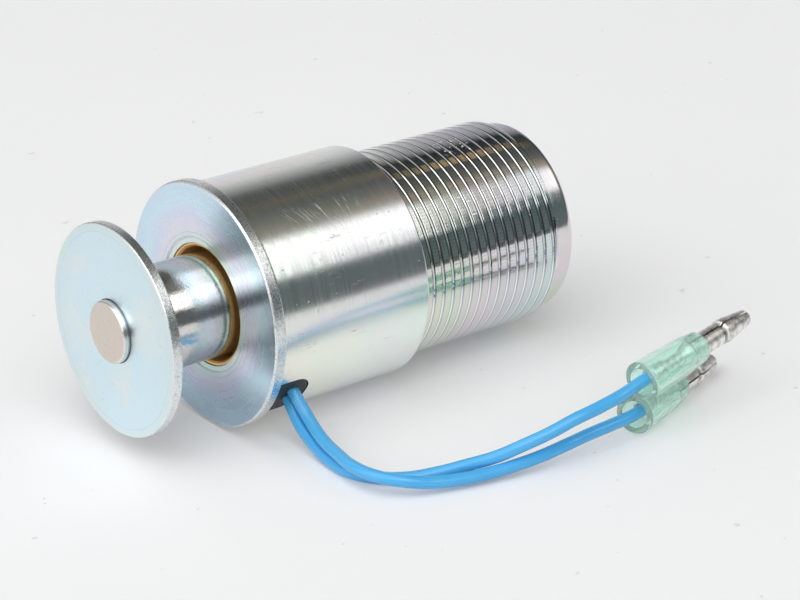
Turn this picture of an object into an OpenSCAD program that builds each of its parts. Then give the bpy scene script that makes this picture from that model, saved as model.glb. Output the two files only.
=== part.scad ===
// Fuel shutoff solenoid: a tubular pull solenoid with a threaded nose.
// The axis is X. The origin is on the axis at the shoulder where the nose begins,
// the nose points along +X and the plunger comes out along -X.

/* [Case] */
// Outside diameter of the plain barrel
barrel_d = 40; // [38:0.5:50]
// Length of the plain barrel, from its open edge to the shoulder
barrel_len = 29.8; // [27:0.2:40]
// Major diameter of the nose thread
thread_d = 36; // [35:0.5:44]
// Depth of the nose thread, on the radius
thread_depth = 1.05; // [0.6:0.05:1.4]
// Length of the nose, from the shoulder to its closed end
nose_len = 34.1; // [33:0.1:42]
// Length of the plain stretch between the thread and the closed end
plain_len = 3.8; // [2:0.1:8]
// Radius round the closed end
nose_end_fillet = 1.4; // [0.4:0.1:3]
// Wall between the nose thread's crests and the bore
nose_wall = 3; // [2.2:0.1:3.2]
// Thickness of the closed end
end_wall = 4; // [2:0.2:6]
// Length of the lead notch, from the barrel's open edge
notch_len = 7.1; // [6:0.1:9]
// Width of the lead notch
notch_w = 10; // [8:0.2:12]
// Corner radius of the lead notch
notch_corner_r = 3; // [1:0.1:3.9]
// Angle of the notch round the axis, from +Y towards +Z
notch_angle = -139.5; // [-150:0.5:-120]

/* [Front plate] */
// How far the plate stands out past the barrel
plate_lip = 1; // [0.2:0.1:3]
// Thickness of the plate
plate_t = 2.2; // [1.6:0.1:3]
// Bevel of the plate's front edge
plate_bevel = 0.3; // [0.1:0.1:1]
// Bevel of the plate's back edge
plate_back_bevel = 0.25; // [0.1:0.05:0.6]
// Depth of the spigot that locates the plate in the bore
plate_spigot = 1.2; // [0.8:0.1:1.6]
// Width of the step around the plunger hole
hole_step = 1.1; // [0.4:0.1:2]
// Depth of that step
hole_step_depth = 0.3; // [0.1:0.05:0.8]

/* [Plunger] */
// Diameter of the plunger where the guide tube carries it
plunger_d = 19.5; // [18:0.1:20]
// Step from the plunger down to its neck, on the radius
neck_step = 0.85; // [0.6:0.05:2]
// Distance from the plate's front face to the plunger's inner end
plunger_inside = 27; // [22:0.5:32]
// Distance from the plate's front face to the step at the neck's inner end
neck_inside = 4; // [3:0.5:8]
// Distance from the plate's front face to the disc's back
disc_gap = 15.7; // [13:0.1:20]
// Diameter of the plunger's disc
disc_d = 36; // [28:0.5:44]
// Thickness of the disc
disc_t = 1.8; // [1.4:0.1:3]
// Radius along the disc's stamped edges
disc_edge_r = 0.3; // [0.2:0.05:0.65]
// Diameter of the spigot that holds the disc
spigot_d = 10.6; // [6:0.1:12]
// How far the spigot stands out of the disc
spigot_proud = 1.2; // [0.5:0.1:3]
// Bevel of the spigot's edge
spigot_bevel = 0.25; // [0.05:0.05:0.45]
// Travel of the plunger
stroke = 12; // [8:0.5:12.5]

/* [Coil and core] */
// Wall of the brass guide tube
guide_wall = 0.7; // [0.4:0.1:0.9]
// How far the guide tube's end lies behind the plate's front face
guide_set_back = 0.5; // [0.3:0.1:1.5]
// Wall of the bobbin's tube
bobbin_wall = 1.15; // [0.8:0.05:1.4]
// Thickness of the bobbin's flanges
bobbin_flange = 1.1; // [0.8:0.1:1.3]
// Length of the channel for the lead joints at the bobbin's front
channel_len = 5; // [4.4:0.1:6]
// Thickness of the tape round the winding
wrap_t = 0.25; // [0.1:0.05:0.4]
// Space between the tape and the flanges' rims
wrap_set_in = 0.35; // [0.1:0.05:0.6]
// Thickness of the core's base
core_base_t = 5.8; // [4:0.2:8]
// Thickness of the disc that keeps the plunger off the core
shim_t = 0.4; // [0.2:0.1:0.8]
// Thickness of the washers at the bobbin's ends
washer_t = 0.4; // [0.2:0.1:0.8]

/* [Return spring] */
// Diameter of the spring wire
wire_d = 0.9; // [0.5:0.1:1.1]
// Outside diameter of the spring
spring_d = 8.2; // [6:0.1:8.4]
// Turns of the spring
spring_turns = 9; // [6:1:12]
// Depth of the spring's bore in the plunger
plunger_bore_depth = 15; // [10:0.5:18]
// Depth of the spring's pocket in the core
core_pocket_depth = 4; // [2:0.5:8]

/* [Leads and terminals] */
// Diameter of a lead over its insulation
lead_d = 2.1; // [1.6:0.1:2.3]
// Distance from the barrel's open edge to the leads
lead_set_back = 4.7; // [4:0.1:5]
// Space between the leads in the grommet
lead_gap = 0.4; // [0.3:0.1:2]
// Diameter of a lead's bare strands
strand_d = 1.4; // [0.8:0.1:1.4]
// Diameter of the bullet terminal's head
bullet_d = 4.2; // [3.8:0.1:5]
// How far the head stands out past the terminal's neck, on the radius
head_flare = 0.15; // [0:0.05:0.4]
// Wall of the rolled terminal
terminal_wall = 0.4; // [0.3:0.05:0.5]
// Width of the terminal's seam
seam_w = 0.35; // [0.2:0.05:0.6]
// Room round the terminal in the sleeve's bore, on the radius
sleeve_room = 0.2; // [0.1:0.05:0.4]
// Wall of the sleeve where it grips the terminal
sleeve_tip_wall = 0.6; // [0.4:0.05:0.9]
// Length of the sleeve
sleeve_len = 14.8; // [14:0.2:18]
// Wall of the sleeve at its open end
sleeve_wall = 1.25; // [0.8:0.05:1.6]

/* [Fits] */
// Running clearance of the plunger in the guide tube, on the radius
plunger_fit = 0.05; // [0.02:0.01:0.1]
// Clearance of fixed pieces that slip into each other, on the radius
slip_fit = 0.05; // [0.02:0.01:0.1]
// Clearance of the bobbin's flanges in the bore, on the radius
coil_fit = 0.2; // [0.1:0.05:0.4]
// Space left between the plunger and the shim at the end of the travel
stop_gap = 0.3; // [0.1:0.1:0.6]
// Space of the spring in its bores, on the radius
spring_fit = 0.5; // [0.3:0.1:0.8]
// Space between the spring's ends and their seats
spring_end_gap = 0.05; // [0.02:0.01:0.2]

/* [Hidden] */

// Facets of a round face
round_fn = 96;
// Turn of the case's and the plate's seam away from the underside, which the part lies on
seam_turn = 1;
// Small overlap that lets one cut run through a face
cut = 1;

// Radii from the axis outwards
barrel_r = barrel_d / 2;
nose_r = thread_d / 2;
nose_end_r = nose_r - thread_depth;
bore_r = nose_r - nose_wall;
plate_r = barrel_r + plate_lip;
plunger_r = plunger_d / 2;
neck_r = plunger_r - neck_step;
guide_in_r = plunger_r + plunger_fit;
guide_out_r = guide_in_r + guide_wall;
hole_r = guide_out_r + slip_fit;
bobbin_out_r = hole_r + bobbin_wall;
flange_r = bore_r - coil_fit;
wrap_r = flange_r - wrap_set_in;
winding_r = wrap_r - wrap_t;
spring_bore_r = spring_d / 2 + spring_fit;

// Places along the axis
thread_end_x = nose_len - plain_len;
barrel_x = -barrel_len;
plate_x = barrel_x - plate_t;
spigot_end_x = barrel_x + plate_spigot;
bobbin_x = spigot_end_x + washer_t;
channel_x = bobbin_x + bobbin_flange;
winding_x = channel_x + channel_len + bobbin_flange;
core_base_x = nose_len - end_wall - core_base_t;
bobbin_end_x = core_base_x - washer_t;
winding_end_x = bobbin_end_x - bobbin_flange;
disc_x = plate_x - disc_gap;
disc_front_x = disc_x - disc_t;
spigot_x = disc_front_x - spigot_proud;
plunger_end_x = plate_x + plunger_inside;
shim_x = plunger_end_x + stroke + stop_gap;
core_x = shim_x + shim_t;
spring_x = plunger_end_x - plunger_bore_depth;
spring_end_x = core_x + core_pocket_depth;
lead_x = barrel_x + lead_set_back;

// Bevels of turned edges, and width of the bobbin's slots for the winding's ends
turned_bevel = 0.5;
edge_bevel = 0.3;
slot_w = 1.6;

// Joints between leads and winding, laid along the channel clear of the leads
splice_d = 2.4;
splice_len = 7;
splice_in_r = bobbin_out_r + slip_fit;
splice_r = splice_in_r + splice_d / 2;
lead_pitch = lead_d + lead_gap;
splice_near = lead_pitch / 2 + lead_d / 2 + slip_fit;
splice_turn = atan(splice_len / 2 / splice_in_r) + asin(splice_near / norm([splice_in_r, splice_len / 2]));

// Each lead's place in the grommet, then hand-picked points between the case and its terminal
lead_off = [-lead_pitch / 2, lead_pitch / 2];
lead_sides = 8;
lead_side = [0, 0.6, -0.8];
lead_inner_r = splice_r - lead_d / 2;
lead_way = [
    [
        [-25.4, -18, -17.1], [-25.6, -22.5, -19.1], [-26, -27.3, -19.8], [-25.8, -32, -19.9],
        [-23.5, -36.3, -19.9], [-20, -39.7, -19.7], [-15.9, -42.3, -19], [-11.8, -44.8, -17.9],
        [-7.9, -47.5, -16.5], [-3.9, -49.7, -14.7], [0.2, -51.2, -13.2], [4.4, -52.2, -11.7],
        [8.9, -52.8, -10.7], [13.6, -52.9, -9.8]
    ],
    [
        [-24.8, -19.6, -15.4], [-25.5, -24.3, -17.1], [-26.2, -29.3, -17.6], [-26.9, -34.3, -17.6],
        [-26.2, -39.2, -17.6], [-23.2, -43, -18], [-18.6, -45.3, -18.7], [-14, -46.9, -18.8],
        [-9.4, -48.2, -18.6], [-4.8, -49.3, -18.1], [-0.2, -50.1, -17.5], [4.3, -50.4, -16.9],
        [9.2, -50.3, -16.5], [14.1, -50.3, -16.2]
    ]
];

// The part lies on the plate's rim and the barrel's end, so the table rises a little along the axis
table_slope = (plate_r - barrel_r) / barrel_len;

// Open end of each sleeve, the lower one on the table and the other on top of it,
// with the way its terminal points and is turned
head_r = bullet_d / 2;
neck_r_out = head_r - head_flare;
sleeve_r = neck_r_out + sleeve_room + sleeve_wall;
sleeve_x = [18.6, 19.1];
table_gap = 0.1;
sleeve_z = table_slope * sleeve_x[1] - barrel_r + table_gap + sleeve_r;
sleeve_at = [[sleeve_x[0], -52.2, sleeve_z + 2 * sleeve_r], [sleeve_x[1], -50.2, sleeve_z]];
sleeve_yaw = [8.7, 19.8];
sleeve_rise = [6.3, -1.6];
terminal_roll = [18, 76];

// Sleeve and terminal stations along the terminal's axis, from the sleeve's open end
sleeve_shoulder_len = 5;
sleeve_collar_len = 1.6;
sleeve_shoulder_at = sleeve_len - sleeve_shoulder_len;
sleeve_collar_at = sleeve_len - sleeve_collar_len;
sleeve_taper = 0.25;
grip_at = 2;
lead_end_at = 4.8;
grip_end = 5;
crimp_at = 5.8;
crimp_end = 9.4;
strand_end = 9.9;
neck_at = 11.6;
groove_at = 19.5;
groove_end = 20.7;
head_end = 21.9;
bullet_end = 27.4;
groove_depth = 0.4;
tip_r = 1.1;
tip_round = 0.25;

// Steps round each turn of the spring, sides of its wire, and pitch of its closed turns
spring_steps = 14;
spring_sides = 6;
closed_pitch = 1.05 * wire_d;

// Colours as the photo shows them
zinc = "#b9c6cc";
steel = "#a9a8a4";
brass = "#a97c3a";
nylon = "#e6e1d0";
copper = "#b4673a";
tape = "#d9c069";
rubber = "#26262a";
blue = "#3f9fe0";
tin = "#b5b2ab";
green = "#8fd6b8";

// Unit vector along v
function unit(v) = v / norm(v);

// Point on a lead's straight way through the notch, at a height over the axis
function in_notch(i, r) = [
    lead_x,
    r * cos(notch_angle) + lead_off[i] * sin(notch_angle),
    r * sin(notch_angle) - lead_off[i] * cos(notch_angle)
];

// Point on a terminal's axis
function on_terminal(i, u) = sleeve_at[i] + u * [
    cos(sleeve_rise[i]) * cos(sleeve_yaw[i]),
    cos(sleeve_rise[i]) * sin(sleeve_yaw[i]),
    sin(sleeve_rise[i])
];

// Whole route of a lead, from its joint in the channel to its terminal
function lead_route(i) = concat(
    [in_notch(i, lead_inner_r), in_notch(i, (lead_inner_r + barrel_r) / 2)],
    [in_notch(i, barrel_r + slip_fit)],
    lead_way[i],
    [on_terminal(i, grip_at - lead_d), on_terminal(i, lead_end_at)]
);

// Direction of a route at point i
function heading(p, i) = unit(p[min(i + 1, len(p) - 1)] - p[max(i - 1, 0)]);

// Points of a round tube along a route, with side as a direction that the route never takes
function tube_points(p, r, sides, side) = [
    for (i = [0 : len(p) - 1])
        let (t = heading(p, i), a = unit(cross(t, side)), b = cross(t, a))
            for (k = [0 : sides - 1])
                p[i] + r * (cos(360 * k / sides) * a + sin(360 * k / sides) * b)
];

// Faces of that tube, with its two end caps
function tube_faces(rings, sides) = concat(
    [
        for (i = [0 : rings - 2], k = [0 : sides - 1])
            let (m = (k + 1) % sides)
                [i * sides + k, (i + 1) * sides + k, (i + 1) * sides + m]
    ],
    [
        for (i = [0 : rings - 2], k = [0 : sides - 1])
            let (m = (k + 1) % sides)
                [i * sides + k, (i + 1) * sides + m, i * sides + m]
    ],
    [[for (k = [0 : sides - 1]) k]],
    [[for (k = [sides - 1 : -1 : 0]) (rings - 1) * sides + k]]
);

// Round tube along a route
module tube(p, d, sides, side) {
    polyhedron(tube_points(p, d / 2, sides, side), tube_faces(len(p), sides));
}

// Turns a flat outline round the X axis
module about_x() {
    rotate([0, 90, 0])
        rotate_extrude($fn = round_fn)
            children();
}

// Turned piece about the X axis, from an outline of [radius, x] points
module turned(outline) {
    about_x()
        polygon(outline);
}

// Plain ring about the X axis
module ring(x, x_end, r_out, r_in) {
    turned([[r_in, x], [r_out, x], [r_out, x_end], [r_in, x_end]]);
}

// Stands a flat outline on the X axis at an angle round it, from one radius to another
module radial(angle, r_in, r_out) {
    rotate([angle - 90, 0, 0])
        translate([0, 0, r_in])
            linear_extrude(r_out - r_in)
                children();
}

// Outline of the lead notch: open at the barrel's edge, round at its inner corners
module notch_outline(gap) {
    w = notch_w - 2 * gap;
    end = barrel_x + notch_len - gap;
    corner = notch_corner_r - gap;
    translate([barrel_x, -w / 2])
        square([notch_len - gap - corner, w]);
    translate([end - corner - cut, corner - w / 2])
        square([corner + cut, w - 2 * corner]);
    for (side = [-1, 1])
        translate([end - corner, side * (w / 2 - corner)])
            circle(corner, $fn = 48);
}

// Outline of the closed end of the nose, with its rounded edge
module nose_outline() {
    square([nose_r, thread_end_x]);
    square([nose_end_r, nose_len - nose_end_fillet]);
    square([nose_end_r - nose_end_fillet, nose_len]);
    translate([nose_end_r - nose_end_fillet, nose_len - nose_end_fillet])
        circle(nose_end_fillet, $fn = 48);
}

module case() {
    color(zinc)
        difference() {
            rotate([seam_turn, 0, 0])
                union() {
                    turned([
                        [0, barrel_x], [barrel_r, barrel_x], [barrel_r, -edge_bevel],
                        [barrel_r - edge_bevel, 0], [0, 0]
                    ]);
                    about_x()
                        intersection() {
                            nose_outline();
                            square([nose_r, nose_len]);
                        }
                }
            ring(barrel_x - cut, nose_len - end_wall, bore_r, 0);
            radial(notch_angle, 0, barrel_r + cut)
                union() {
                    notch_outline(0);
                    translate([barrel_x - cut, -notch_w / 2])
                        square([cut * 2, notch_w]);
                }
        }
}

module front_plate() {
    spigot_r = bore_r - slip_fit;
    step_x = plate_x + hole_step_depth;
    step_r = hole_r + hole_step;
    color(zinc)
        rotate([seam_turn, 0, 0])
            turned([
                [hole_r, step_x], [step_r - hole_step_depth, step_x],
                [step_r, plate_x], [plate_r - plate_bevel, plate_x],
                [plate_r, plate_x + plate_bevel], [plate_r, barrel_x - plate_back_bevel],
                [plate_r - plate_back_bevel, barrel_x], [spigot_r, barrel_x],
                [spigot_r, spigot_end_x - edge_bevel], [spigot_r - edge_bevel, spigot_end_x],
                [hole_r, spigot_end_x]
            ]);
}

module guide_tube() {
    lead_in = guide_wall / 2;
    start = plate_x + guide_set_back;
    color(brass)
        turned([
            [guide_in_r + lead_in, start], [guide_out_r, start], [guide_out_r, core_base_x],
            [guide_in_r, core_base_x], [guide_in_r, start + lead_in]
        ]);
}

module bobbin() {
    color(nylon)
        difference() {
            union() {
                ring(bobbin_x, bobbin_end_x, bobbin_out_r, hole_r);
                for (x = [bobbin_x, winding_x - bobbin_flange, winding_end_x])
                    ring(x, x + bobbin_flange, flange_r, hole_r);
            }
            for (i = [0, 1])
                radial(notch_angle + (i == 0 ? 1 : -1) * 2 * splice_turn, bobbin_out_r, bore_r)
                    translate([winding_x - bobbin_flange - cut, -slot_w / 2])
                        square([bobbin_flange + 2 * cut, slot_w]);
        }
}

module coil_winding() {
    color(copper)
        ring(winding_x, winding_end_x, winding_r, bobbin_out_r + slip_fit);
}

module coil_wrap() {
    color(tape)
        ring(winding_x, winding_end_x, wrap_r, winding_r);
}

module stop_core() {
    post_r = guide_in_r - slip_fit;
    base_r = bore_r - slip_fit;
    color(steel)
        turned([
            [0, core_x + core_pocket_depth], [spring_bore_r, core_x + core_pocket_depth],
            [spring_bore_r, core_x], [post_r - turned_bevel, core_x],
            [post_r, core_x + turned_bevel], [post_r, core_base_x],
            [base_r, core_base_x], [base_r, nose_len - end_wall],
            [0, nose_len - end_wall]
        ]);
}

module core_shim() {
    color(brass)
        ring(shim_x, core_x, plunger_r - turned_bevel, spring_bore_r);
}

module front_washer() {
    color(tape)
        ring(spigot_end_x, bobbin_x, flange_r, hole_r);
}

module rear_washer() {
    color(tape)
        ring(bobbin_end_x, core_base_x, flange_r, hole_r);
}

module lead_grommet() {
    hole = lead_d / 2 + slip_fit;
    color(rubber)
        difference() {
            intersection() {
                radial(notch_angle, 0, barrel_r)
                    notch_outline(slip_fit);
                ring(barrel_x, 0, barrel_r, bore_r);
            }
            for (off = lead_off)
                radial(notch_angle, 0, barrel_r + cut)
                    translate([lead_x, off])
                        circle(hole, $fn = 32);
        }
}

// Sleeved joint, lying in the channel beside the inner end of its lead
module splice(i) {
    angle = notch_angle + (i == 0 ? splice_turn : -splice_turn);
    color(tape)
        rotate([angle - 90, 0, 0])
            translate([lead_x, 0, splice_r])
                rotate([90, 0, 0])
                    cylinder(splice_len, d = splice_d, center = true, $fn = 48);
}

module splice_1() {
    splice(0);
}

module splice_2() {
    splice(1);
}

module lead(i) {
    color(blue)
        tube(lead_route(i), lead_d, lead_sides, lead_side);
}

module lead_1() {
    lead(0);
}

module lead_2() {
    lead(1);
}

// Puts a piece on a terminal's axis
module at_terminal(i) {
    translate(sleeve_at[i])
        rotate([0, -sleeve_rise[i], sleeve_yaw[i]])
            rotate([terminal_roll[i], 0, 0])
                children();
}

// Bare strands of a lead, held in the terminal's crimp
module strands(i) {
    color(copper)
        at_terminal(i)
            ring(lead_end_at, strand_end, strand_d / 2, 0);
}

module core_1() {
    strands(0);
}

module core_2() {
    strands(1);
}

// Rolled bullet terminal: insulation grip, crimp, neck, groove and tapered split head
module terminal(i) {
    grip_in = lead_d / 2 + slip_fit;
    crimp_in = strand_d / 2 + slip_fit;
    neck_in = neck_r_out - terminal_wall;
    groove_out = neck_r_out - groove_depth;
    groove_in = groove_out - terminal_wall;
    color(tin)
        at_terminal(i)
            difference() {
                turned([
                    [grip_in, grip_at], [grip_in + terminal_wall, grip_at],
                    [grip_in + terminal_wall, grip_end], [crimp_in + terminal_wall, crimp_at],
                    [crimp_in + terminal_wall, crimp_end], [neck_r_out, neck_at],
                    [neck_r_out, groove_at], [groove_out, groove_at + groove_depth],
                    [groove_out, groove_end - groove_depth], [head_r, groove_end],
                    [head_r, head_end], [tip_r + tip_round, bullet_end - tip_round],
                    [tip_r, bullet_end], [tip_r - terminal_wall, bullet_end],
                    [neck_in, head_end], [neck_in, groove_end + terminal_wall],
                    [groove_in, groove_end - groove_depth + terminal_wall],
                    [groove_in, groove_at + groove_depth - terminal_wall],
                    [neck_in, groove_at - terminal_wall], [neck_in, neck_at],
                    [crimp_in, crimp_end], [crimp_in, crimp_at], [grip_in, grip_end]
                ]);
                translate([neck_at, -seam_w / 2, 0])
                    cube([bullet_end - neck_at + cut, seam_w, head_r + cut]);
            }
}

module terminal_1() {
    terminal(0);
}

module terminal_2() {
    terminal(1);
}

// Clear thick-walled sleeve: open behind, tapered and tight on the terminal's neck in front
module sleeve(i) {
    collar_r = neck_r_out + slip_fit;
    sleeve_bore_r = neck_r_out + sleeve_room;
    tip_r_out = collar_r + sleeve_tip_wall;
    shoulder_r = sleeve_r - sleeve_taper;
    color(green, 0.6)
        at_terminal(i)
            turned([
                [sleeve_bore_r + edge_bevel, 0], [sleeve_r - edge_bevel, 0], [sleeve_r, edge_bevel],
                [shoulder_r, sleeve_shoulder_at], [tip_r_out + edge_bevel, sleeve_collar_at],
                [tip_r_out, sleeve_len - edge_bevel], [tip_r_out - edge_bevel, sleeve_len],
                [collar_r, sleeve_len], [collar_r, neck_at], [sleeve_bore_r, neck_at - edge_bevel],
                [sleeve_bore_r, edge_bevel]
            ]);
}

module sleeve_1() {
    sleeve(0);
}

module sleeve_2() {
    sleeve(1);
}

module plunger() {
    spigot_r = spigot_d / 2;
    step_x = plate_x + neck_inside;
    color(steel)
        turned([
            [0, spigot_x], [spigot_r - spigot_bevel, spigot_x], [spigot_r, spigot_x + spigot_bevel],
            [spigot_r, disc_x], [neck_r, disc_x], [neck_r, step_x],
            [plunger_r - turned_bevel, step_x], [plunger_r, step_x + turned_bevel],
            [plunger_r, plunger_end_x - turned_bevel], [plunger_r - turned_bevel, plunger_end_x],
            [spring_bore_r, plunger_end_x], [spring_bore_r, spring_x], [0, spring_x]
        ]);
}

// Stamped disc with rounded edges
module plunger_disc() {
    rim_r = disc_d / 2;
    flat_r = rim_r - disc_edge_r;
    hole = spigot_d / 2 + slip_fit;
    color(zinc)
        translate([disc_front_x, 0, 0])
            about_x()
                union() {
                    translate([hole, 0])
                        square([flat_r - hole, disc_t]);
                    translate([flat_r - cut, disc_edge_r])
                        square([disc_edge_r + cut, disc_t - 2 * disc_edge_r]);
                    for (y = [disc_edge_r, disc_t - disc_edge_r])
                        translate([flat_r, y])
                            circle(disc_edge_r, $fn = 32);
                }
}

// Coil spring with a closed turn at each end, between the plunger's bore and the core's pocket
module return_spring() {
    wire_r = wire_d / 2;
    mean_r = spring_d / 2 - wire_r;
    first = spring_x + spring_end_gap + wire_r;
    last = spring_end_x - spring_end_gap - wire_r;
    open_turns = spring_turns - 2;
    open_pitch = (last - first - 2 * closed_pitch) / open_turns;
    color(steel)
        tube(
            [
                for (i = [0 : spring_turns * spring_steps])
                    let (turn = i / spring_steps, inner = min(max(turn - 1, 0), open_turns))
                        let (ends = min(turn, 1) + max(turn - open_turns - 1, 0))
                            [
                                first + closed_pitch * ends + open_pitch * inner,
                                mean_r * cos(360 * turn),
                                mean_r * sin(360 * turn)
                            ]
            ],
            wire_d, spring_sides, [1, 0, 0]
        );
}

case();
front_plate();
guide_tube();
bobbin();
coil_winding();
coil_wrap();
stop_core();
core_shim();
front_washer();
rear_washer();
lead_grommet();
splice_1();
splice_2();
lead_1();
lead_2();
core_1();
core_2();
terminal_1();
terminal_2();
sleeve_1();
sleeve_2();
plunger();
plunger_disc();
return_spring();
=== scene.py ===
import math
import bmesh
import bpy
from mathutils import Matrix, Vector


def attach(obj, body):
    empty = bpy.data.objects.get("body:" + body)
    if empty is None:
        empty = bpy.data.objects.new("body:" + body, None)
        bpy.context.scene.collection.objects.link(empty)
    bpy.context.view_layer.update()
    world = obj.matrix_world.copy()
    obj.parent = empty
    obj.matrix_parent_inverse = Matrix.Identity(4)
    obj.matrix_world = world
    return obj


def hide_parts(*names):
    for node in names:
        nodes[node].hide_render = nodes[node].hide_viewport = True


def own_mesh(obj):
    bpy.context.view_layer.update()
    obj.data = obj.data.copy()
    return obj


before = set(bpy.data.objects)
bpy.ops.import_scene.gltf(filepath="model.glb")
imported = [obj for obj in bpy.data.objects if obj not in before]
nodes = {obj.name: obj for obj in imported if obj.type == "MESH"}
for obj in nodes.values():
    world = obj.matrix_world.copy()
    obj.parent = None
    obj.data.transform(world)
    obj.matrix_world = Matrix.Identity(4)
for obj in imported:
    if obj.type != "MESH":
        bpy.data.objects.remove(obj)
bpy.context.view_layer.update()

scene = bpy.context.scene
mm = 0.001
fullTurn = 2 * math.pi


# Camera, fitted to the rims of plate, disc and nose
viewer = {
    "at": (-0.28217, -0.38045, 0.19639),
    "back": (-0.55827, -0.72939, 0.39539),
    "lens": 134.91,
    "sensor": 36,
}
camera = bpy.data.objects.new("camera", bpy.data.cameras.new("camera"))
camera.data.lens = viewer["lens"]
camera.data.sensor_width = viewer["sensor"]
camera.location = viewer["at"]
camera.rotation_euler = Vector(viewer["back"]).to_track_quat("Z", "Y").to_euler()
scene.collection.objects.link(camera)
scene.camera = camera
print("camera set")


# Notch for the leads in the barrel's front edge, in millimetres as all shapes below
barrelFront = -29.8
notch = {
    "turn": math.radians(-139.5),
    "length": 7.1,
    "half": 5.0,
    "corner": 3.0,
    "cornerSteps": 8,
    "cutFrom": -32,
    "cutHeights": (10, 24),
}


def notchPoint(x, aside, height):
    # height is from the part's axis, straight out through the notch
    c, s = math.cos(notch["turn"]), math.sin(notch["turn"])
    return (x, height * c + aside * s, height * s - aside * c)


# Leads, from the joint in the case to the terminal
leads = {
    "radius": 1.05 * mm,
    "along": -25.1,
    "heights": (11.9, 16, 20.05),  # over the axis, inside the notch and at its mouth
    "aside": (-1.25, 1.25),
    "length": (0.0855, 0.0867),
    "ways": (
        (
            (-25.4, -18, -17.1), (-25.6, -22.5, -19.1), (-26, -27.3, -19.8), (-25.8, -32, -19.9),
            (-23.5, -36.3, -19.9), (-20, -39.7, -19.7), (-15.9, -42.3, -19), (-11.8, -44.8, -17.9),
            (-7.9, -47.5, -16.5), (-3.9, -49.7, -14.7), (0.2, -51.2, -13.2), (4.4, -52.2, -11.7),
            (8.9, -52.8, -10.7), (13.6, -52.9, -9.8), (18.502, -52.215, -9.07), (23.316, -51.478, -8.532),
        ),
        (
            (-24.8, -19.6, -15.4), (-25.5, -24.3, -17.1), (-26.2, -29.3, -17.6), (-26.9, -34.3, -17.6),
            (-26.2, -39.2, -17.6), (-23.2, -43, -18), (-18.6, -45.3, -18.7), (-14, -46.9, -18.8),
            (-9.4, -48.2, -18.6), (-4.8, -49.3, -18.1), (-0.2, -50.1, -17.5), (4.3, -50.4, -16.9),
            (9.2, -50.3, -16.5), (14.1, -50.3, -16.2), (19.006, -50.234, -15.856), (23.614, -48.575, -15.993),
        ),
    ),
}


def layLead(name, points):
    curve = bpy.data.curves.new(name, "CURVE")
    curve.dimensions = "3D"
    curve.bevel_depth = leads["radius"]
    curve.bevel_resolution = 7
    curve.resolution_u = 10
    curve.use_fill_caps = True
    spline = curve.splines.new("BEZIER")
    spline.bezier_points.add(len(points) - 1)
    for knot, p in zip(spline.bezier_points, points):
        knot.co = p
        knot.handle_left_type = knot.handle_right_type = "AUTO"
    piece = bpy.data.objects.new(name, curve)
    scene.collection.objects.link(piece)
    return piece


leadPieces = []
for i, way in enumerate(leads["ways"]):
    start = [notchPoint(leads["along"], leads["aside"][i], height) for height in leads["heights"]]
    points = [Vector(p) * mm for p in start + list(way)]
    leadPieces.append(layLead(f"lead_wire_{i + 1}", points))
print("leads laid")


# Mesh helpers: turned pieces are rings of points about the X axis
roundSteps = 5


def softened(corners):
    # rounds each corner (x, radius, rounding) of a closed outline, by under half of a side
    points = []
    for i, (x, r, soft) in enumerate(corners):
        here = Vector((x, r))
        if not soft:
            points.append(here)
            continue
        before = Vector(corners[i - 1][:2]) - here
        after = Vector(corners[(i + 1) % len(corners)][:2]) - here
        start = here + before.normalized() * min(soft, before.length * 0.49)
        end = here + after.normalized() * min(soft, after.length * 0.49)
        for k in range(roundSteps + 1):
            s = k / roundSteps
            points.append(start * (1 - s) ** 2 + here * 2 * s * (1 - s) + end * s * s)
    return points


def evenShading(piece):
    even = piece.modifiers.new("evenShading", "WEIGHTED_NORMAL")
    even.keep_sharp = True


def smoothed(mesh, sharp):
    mesh.shade_smooth()
    mesh.set_sharp_from_angle(angle=math.radians(sharp))


def finished(name, bm, sharp=35, even=True):
    bmesh.ops.remove_doubles(bm, verts=bm.verts, dist=2e-6)
    bmesh.ops.dissolve_degenerate(bm, edges=bm.edges, dist=1e-7)
    bmesh.ops.recalc_face_normals(bm, faces=bm.faces)
    mesh = bpy.data.meshes.new(name)
    bm.to_mesh(mesh)
    bm.free()
    smoothed(mesh, sharp)
    piece = bpy.data.objects.new(name, mesh)
    scene.collection.objects.link(piece)
    if even:
        evenShading(piece)
    return piece


def ringPoints(x, r, steps):
    turns = [fullTurn * k / steps for k in range(steps + 1)]
    return [(x, r * math.cos(t), r * math.sin(t)) for t in turns]


def rowsOf(bm, rings):
    return [[bm.verts.new(Vector(p) * mm) for p in ring] for ring in rings]


def bridge(bm, a, b):
    for k in range(len(a) - 1):
        bm.faces.new((a[k], a[k + 1], b[k + 1], b[k]))


def lofted(name, rings, sharp=35, loop=True, even=True):
    bm = bmesh.new()
    rows = rowsOf(bm, rings)
    for a, b in zip(rows, rows[1:]):
        bridge(bm, a, b)
    if loop:
        bridge(bm, rows[-1], rows[0])
    return finished(name, bm, sharp, even)


def turned(name, shape):
    return lofted(name, [ringPoints(x, r, shape["steps"]) for x, r in softened(shape["outline"])])


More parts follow.
